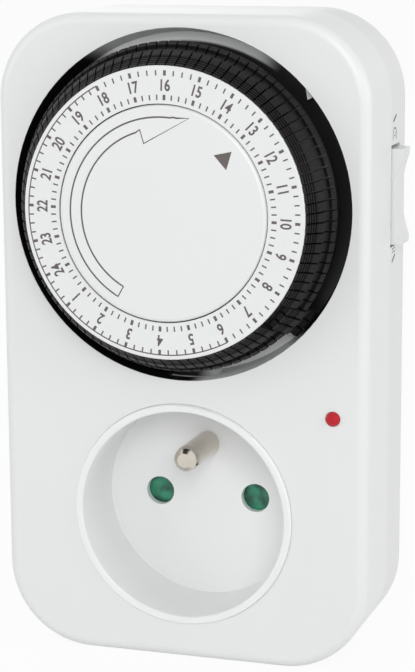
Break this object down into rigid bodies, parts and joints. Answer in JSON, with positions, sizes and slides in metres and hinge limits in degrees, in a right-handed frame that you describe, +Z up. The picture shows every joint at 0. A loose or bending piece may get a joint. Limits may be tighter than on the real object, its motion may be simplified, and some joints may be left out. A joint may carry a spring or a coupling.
{
  "type": "plug-in timer switch",
  "caption": "Plug-in mechanical timer switch: white rounded housing with a black segment dial for setting times over a recessed earthed socket, a lamp, a side rocker and a round plug behind",
  "frame": {"origin": "middle of the flat lower end of the housing, half way between its front and rear faces", "axes": "+Z up along the housing, the dial and socket face -Y, the plug pins point to +Y, +X is on the right of a person who faces the dial"},
  "size_m": [0.072, 0.0735, 0.1194],
  "materials": {
    "shell_white": "white, faintly textured moulded plastic",
    "shell_rear": "white moulded plastic, a little darker",
    "screw_steel": "zinc-plated steel",
    "pin_nickel": "nickel-plated brass, turned",
    "contact_brass": "bright stamped brass",
    "blade_bronze": "spring bronze strip",
    "disc_white": "white moulded plastic with a printed arrow",
    "plate_white": "white printed ring",
    "dial_black": "black moulded plastic",
    "tappet_black": "black ribbed plastic, satin",
    "frame_plastic": "natural cream plastic",
    "arbor_steel": "ground steel",
    "can_steel": "zinc-plated drawn steel",
    "coil_tape": "wound copper under yellow tape",
    "rotor_ferrite": "dark ferrite on a white pinion",
    "gear_plastic": "natural white acetal",
    "block_plastic": "brown moulded resin",
    "lamp_red": "clear red plastic",
    "lamp_glass": "clear glass neon lamp and resistor",
    "lead_sheath": "brown and blue insulated wire",
    "shutter_green": "green moulded plastic",
    "spring_steel": "spring steel wire",
    "lever_white": "white moulded plastic",
    "rocker_white": "white moulded plastic"
  },
  "bodies": {
    "housing": {"front_housing": "shell_white", "socket_insert": "shell_white", "rear_housing": "shell_rear", "housing_screws": "screw_steel", "earth_pin": "pin_nickel", "pin_contacts": "contact_brass", "earth_strap": "contact_brass", "earth_receptacle": "contact_brass", "plug_pins": "pin_nickel", "centre_disc": "disc_white", "movement_bridge": "frame_plastic", "movement_plate": "frame_plastic", "movement_screws": "screw_steel", "arbor_pins": "arbor_steel", "motor_can": "can_steel", "motor_coil": "coil_tape", "fixed_contact": "contact_brass", "switch_block": "block_plastic", "lamp_lens": "lamp_red", "neon_lamp": "lamp_glass", "leads": "lead_sheath", "shutter_spring": "spring_steel", "trip_spring": "spring_steel"},
    "dial": {"dial_wheel": "dial_black", "dial_plate": "plate_white"},
    "tappets_hour_01": {"tappets_hour_01": "tappet_black"},
    "tappets_hour_02": {"tappets_hour_02": "tappet_black"},
    "tappets_hour_03": {"tappets_hour_03": "tappet_black"},
    "tappets_hour_04": {"tappets_hour_04": "tappet_black"},
    "tappets_hour_05": {"tappets_hour_05": "tappet_black"},
    "tappets_hour_06": {"tappets_hour_06": "tappet_black"},
    "tappet_07_00": {"tappet_07_00": "tappet_black"},
    "tappet_07_15": {"tappet_07_15": "tappet_black"},
    "tappet_07_30": {"tappet_07_30": "tappet_black"},
    "tappet_07_45": {"tappet_07_45": "tappet_black"},
    "tappets_hour_08": {"tappets_hour_08": "tappet_black"},
    "tappets_hour_09": {"tappets_hour_09": "tappet_black"},
    "tappets_hour_10": {"tappets_hour_10": "tappet_black"},
    "tappets_hour_11": {"tappets_hour_11": "tappet_black"},
    "tappets_hour_12": {"tappets_hour_12": "tappet_black"},
    "tappets_hour_13": {"tappets_hour_13": "tappet_black"},
    "tappets_hour_14": {"tappets_hour_14": "tappet_black"},
    "tappets_hour_15": {"tappets_hour_15": "tappet_black"},
    "tappets_hour_16": {"tappets_hour_16": "tappet_black"},
    "tappets_hour_17": {"tappets_hour_17": "tappet_black"},
    "tappets_hour_18": {"tappets_hour_18": "tappet_black"},
    "tappets_hour_19": {"tappets_hour_19": "tappet_black"},
    "tappets_hour_20": {"tappets_hour_20": "tappet_black"},
    "tappets_hour_21": {"tappets_hour_21": "tappet_black"},
    "tappets_hour_22": {"tappets_hour_22": "tappet_black"},
    "tappets_hour_23": {"tappets_hour_23": "tappet_black"},
    "tappets_hour_24": {"tappets_hour_24": "tappet_black"},
    "drive_pinion": {"drive_pinion": "gear_plastic"},
    "clutch_wheel": {"clutch_wheel": "gear_plastic"},
    "reduction_wheel": {"reduction_wheel": "gear_plastic"},
    "motor_rotor": {"motor_rotor": "rotor_ferrite"},
    "trip_lever": {"trip_lever": "lever_white"},
    "switch_blade": {"switch_blade": "blade_bronze"},
    "override_rocker": {"override_rocker": "rocker_white"},
    "shutter": {"shutter": "shutter_green"}
  },
  "joints": [
    {"name": "dial_spin", "type": "hinge", "parent": "housing", "child": "dial", "pos_m": [0, -0.01775, 0.0851], "axis": [0, 1, 0], "continuous": true},
    {"name": "tappets_hour_01_slide", "type": "slide", "parent": "dial", "child": "tappets_hour_01", "axis": [-0.2864, 0.891, -0.3522], "range_m": [0, 0.0034]},
    {"name": "tappets_hour_02_slide", "type": "slide", "parent": "dial", "child": "tappets_hour_02", "axis": [-0.1855, 0.891, -0.4144], "range_m": [0, 0.0034]},
    {"name": "tappets_hour_03_slide", "type": "slide", "parent": "dial", "child": "tappets_hour_03", "axis": [-0.072, 0.891, -0.4483], "range_m": [0, 0.0034]},
    {"name": "tappets_hour_04_slide", "type": "slide", "parent": "dial", "child": "tappets_hour_04", "axis": [0.0465, 0.891, -0.4516], "range_m": [0, 0.0034]},
    {"name": "tappets_hour_05_slide", "type": "slide", "parent": "dial", "child": "tappets_hour_05", "axis": [0.1618, 0.891, -0.4242], "range_m": [0, 0.0034]},
    {"name": "tappets_hour_06_slide", "type": "slide", "parent": "dial", "child": "tappets_hour_06", "axis": [0.2661, 0.891, -0.3678], "range_m": [0, 0.0034]},
    {"name": "tappet_07_00_slide", "type": "slide", "parent": "dial", "child": "tappet_07_00", "axis": [0.3224, 0.891, -0.3196], "range_m": [-0.0034, 0]},
    {"name": "tappet_07_15_slide", "type": "slide", "parent": "dial", "child": "tappet_07_15", "axis": [0.3427, 0.891, -0.2978], "range_m": [-0.0034, 0]},
    {"name": "tappet_07_30_slide", "type": "slide", "parent": "dial", "child": "tappet_07_30", "axis": [0.3614, 0.891, -0.2748], "range_m": [-0.0034, 0]},
    {"name": "tappet_07_45_slide", "type": "slide", "parent": "dial", "child": "tappet_07_45", "axis": [0.3786, 0.891, -0.2505], "range_m": [0, 0.0034]},
    {"name": "tappets_hour_08_slide", "type": "slide", "parent": "dial", "child": "tappets_hour_08", "axis": [0.4144, 0.891, -0.1855], "range_m": [0, 0.0034]},
    {"name": "tappets_hour_09_slide", "type": "slide", "parent": "dial", "child": "tappets_hour_09", "axis": [0.4483, 0.891, -0.072], "range_m": [0, 0.0034]},
    {"name": "tappets_hour_10_slide", "type": "slide", "parent": "dial", "child": "tappets_hour_10", "axis": [0.4516, 0.891, 0.0465], "range_m": [0, 0.0034]},
    {"name": "tappets_hour_11_slide", "type": "slide", "parent": "dial", "child": "tappets_hour_11", "axis": [0.4242, 0.891, 0.1618], "range_m": [0, 0.0034]},
    {"name": "tappets_hour_12_slide", "type": "slide", "parent": "dial", "child": "tappets_hour_12", "axis": [0.3678, 0.891, 0.2661], "range_m": [0, 0.0034]},
    {"name": "tappets_hour_13_slide", "type": "slide", "parent": "dial", "child": "tappets_hour_13", "axis": [0.2864, 0.891, 0.3522], "range_m": [0, 0.0034]},
    {"name": "tappets_hour_14_slide", "type": "slide", "parent": "dial", "child": "tappets_hour_14", "axis": [0.1855, 0.891, 0.4144], "range_m": [0, 0.0034]},
    {"name": "tappets_hour_15_slide", "type": "slide", "parent": "dial", "child": "tappets_hour_15", "axis": [0.072, 0.891, 0.4483], "range_m": [0, 0.0034]},
    {"name": "tappets_hour_16_slide", "type": "slide", "parent": "dial", "child": "tappets_hour_16", "axis": [-0.0465, 0.891, 0.4516], "range_m": [0, 0.0034]},
    {"name": "tappets_hour_17_slide", "type": "slide", "parent": "dial", "child": "tappets_hour_17", "axis": [-0.1618, 0.891, 0.4242], "range_m": [0, 0.0034]},
    {"name": "tappets_hour_18_slide", "type": "slide", "parent": "dial", "child": "tappets_hour_18", "axis": [-0.2661, 0.891, 0.3678], "range_m": [0, 0.0034]},
    {"name": "tappets_hour_19_slide", "type": "slide", "parent": "dial", "child": "tappets_hour_19", "axis": [-0.3522, 0.891, 0.2864], "range_m": [0, 0.0034]},
    {"name": "tappets_hour_20_slide", "type": "slide", "parent": "dial", "child": "tappets_hour_20", "axis": [-0.4144, 0.891, 0.1855], "range_m": [0, 0.0034]},
    {"name": "tappets_hour_21_slide", "type": "slide", "parent": "dial", "child": "tappets_hour_21", "axis": [-0.4483, 0.891, 0.072], "range_m": [0, 0.0034]},
    {"name": "tappets_hour_22_slide", "type": "slide", "parent": "dial", "child": "tappets_hour_22", "axis": [-0.4516, 0.891, -0.0465], "range_m": [0, 0.0034]},
    {"name": "tappets_hour_23_slide", "type": "slide", "parent": "dial", "child": "tappets_hour_23", "axis": [-0.4242, 0.891, -0.1618], "range_m": [0, 0.0034]},
    {"name": "tappets_hour_24_slide", "type": "slide", "parent": "dial", "child": "tappets_hour_24", "axis": [-0.3678, 0.891, -0.2661], "range_m": [0, 0.0034]},
    {"name": "drive_spin", "type": "hinge", "parent": "housing", "child": "drive_pinion", "pos_m": [-0.0144, -0.00375, 0.0851], "axis": [0, 1, 0], "continuous": true},
    {"name": "rotor_spin", "type": "hinge", "parent": "housing", "child": "motor_rotor", "pos_m": [0.00603, 0.00425, 0.07866], "axis": [0, 1, 0], "continuous": true},
    {"name": "reduction_spin", "type": "hinge", "parent": "housing", "child": "reduction_wheel", "pos_m": [-0.00666, -0.00175, 0.07404], "axis": [0, 1, 0], "continuous": true},
    {"name": "clutch_spin", "type": "hinge", "parent": "housing", "child": "clutch_wheel", "pos_m": [-0.0144, -0.00275, 0.0851], "axis": [0, 1, 0], "continuous": true},
    {"name": "lever_pivot", "type": "hinge", "parent": "housing", "child": "trip_lever", "pos_m": [0.02041, -0.01015, 0.11536], "axis": [0, -1, 0], "range_deg": [0, 7], "stiffness_Nm_per_rad": 0.01, "springref_deg": -20.05, "deforming": ["trip_spring"]},
    {"name": "blade_flex", "type": "hinge", "parent": "housing", "child": "switch_blade", "pos_m": [0.009, 0.00125, 0.11115], "axis": [0, -1, 0], "range_deg": [0, 2.1]},
    {"name": "rocker_tilt", "type": "hinge", "parent": "housing", "child": "override_rocker", "pos_m": [0.0316, 0.00495, 0.0861], "axis": [0, 1, 0], "range_deg": [-6, 6]},
    {"name": "shutter_slide", "type": "slide", "parent": "housing", "child": "shutter", "axis": [0, 0, -1], "range_m": [0, 0.006], "stiffness_N_per_m": 60, "springref_m": -0.004, "deforming": ["shutter_spring"]}
  ],
  "couplings": [
    {"joint": "drive_spin", "follows": "dial_spin", "ratio": 5},
    {"joint": "reduction_spin", "follows": "rotor_spin", "ratio": -0.22727},
    {"joint": "clutch_spin", "follows": "rotor_spin", "ratio": 0.051653},
    {"joint": "blade_flex", "follows": "lever_pivot", "ratio": 0.28571}
  ]
}
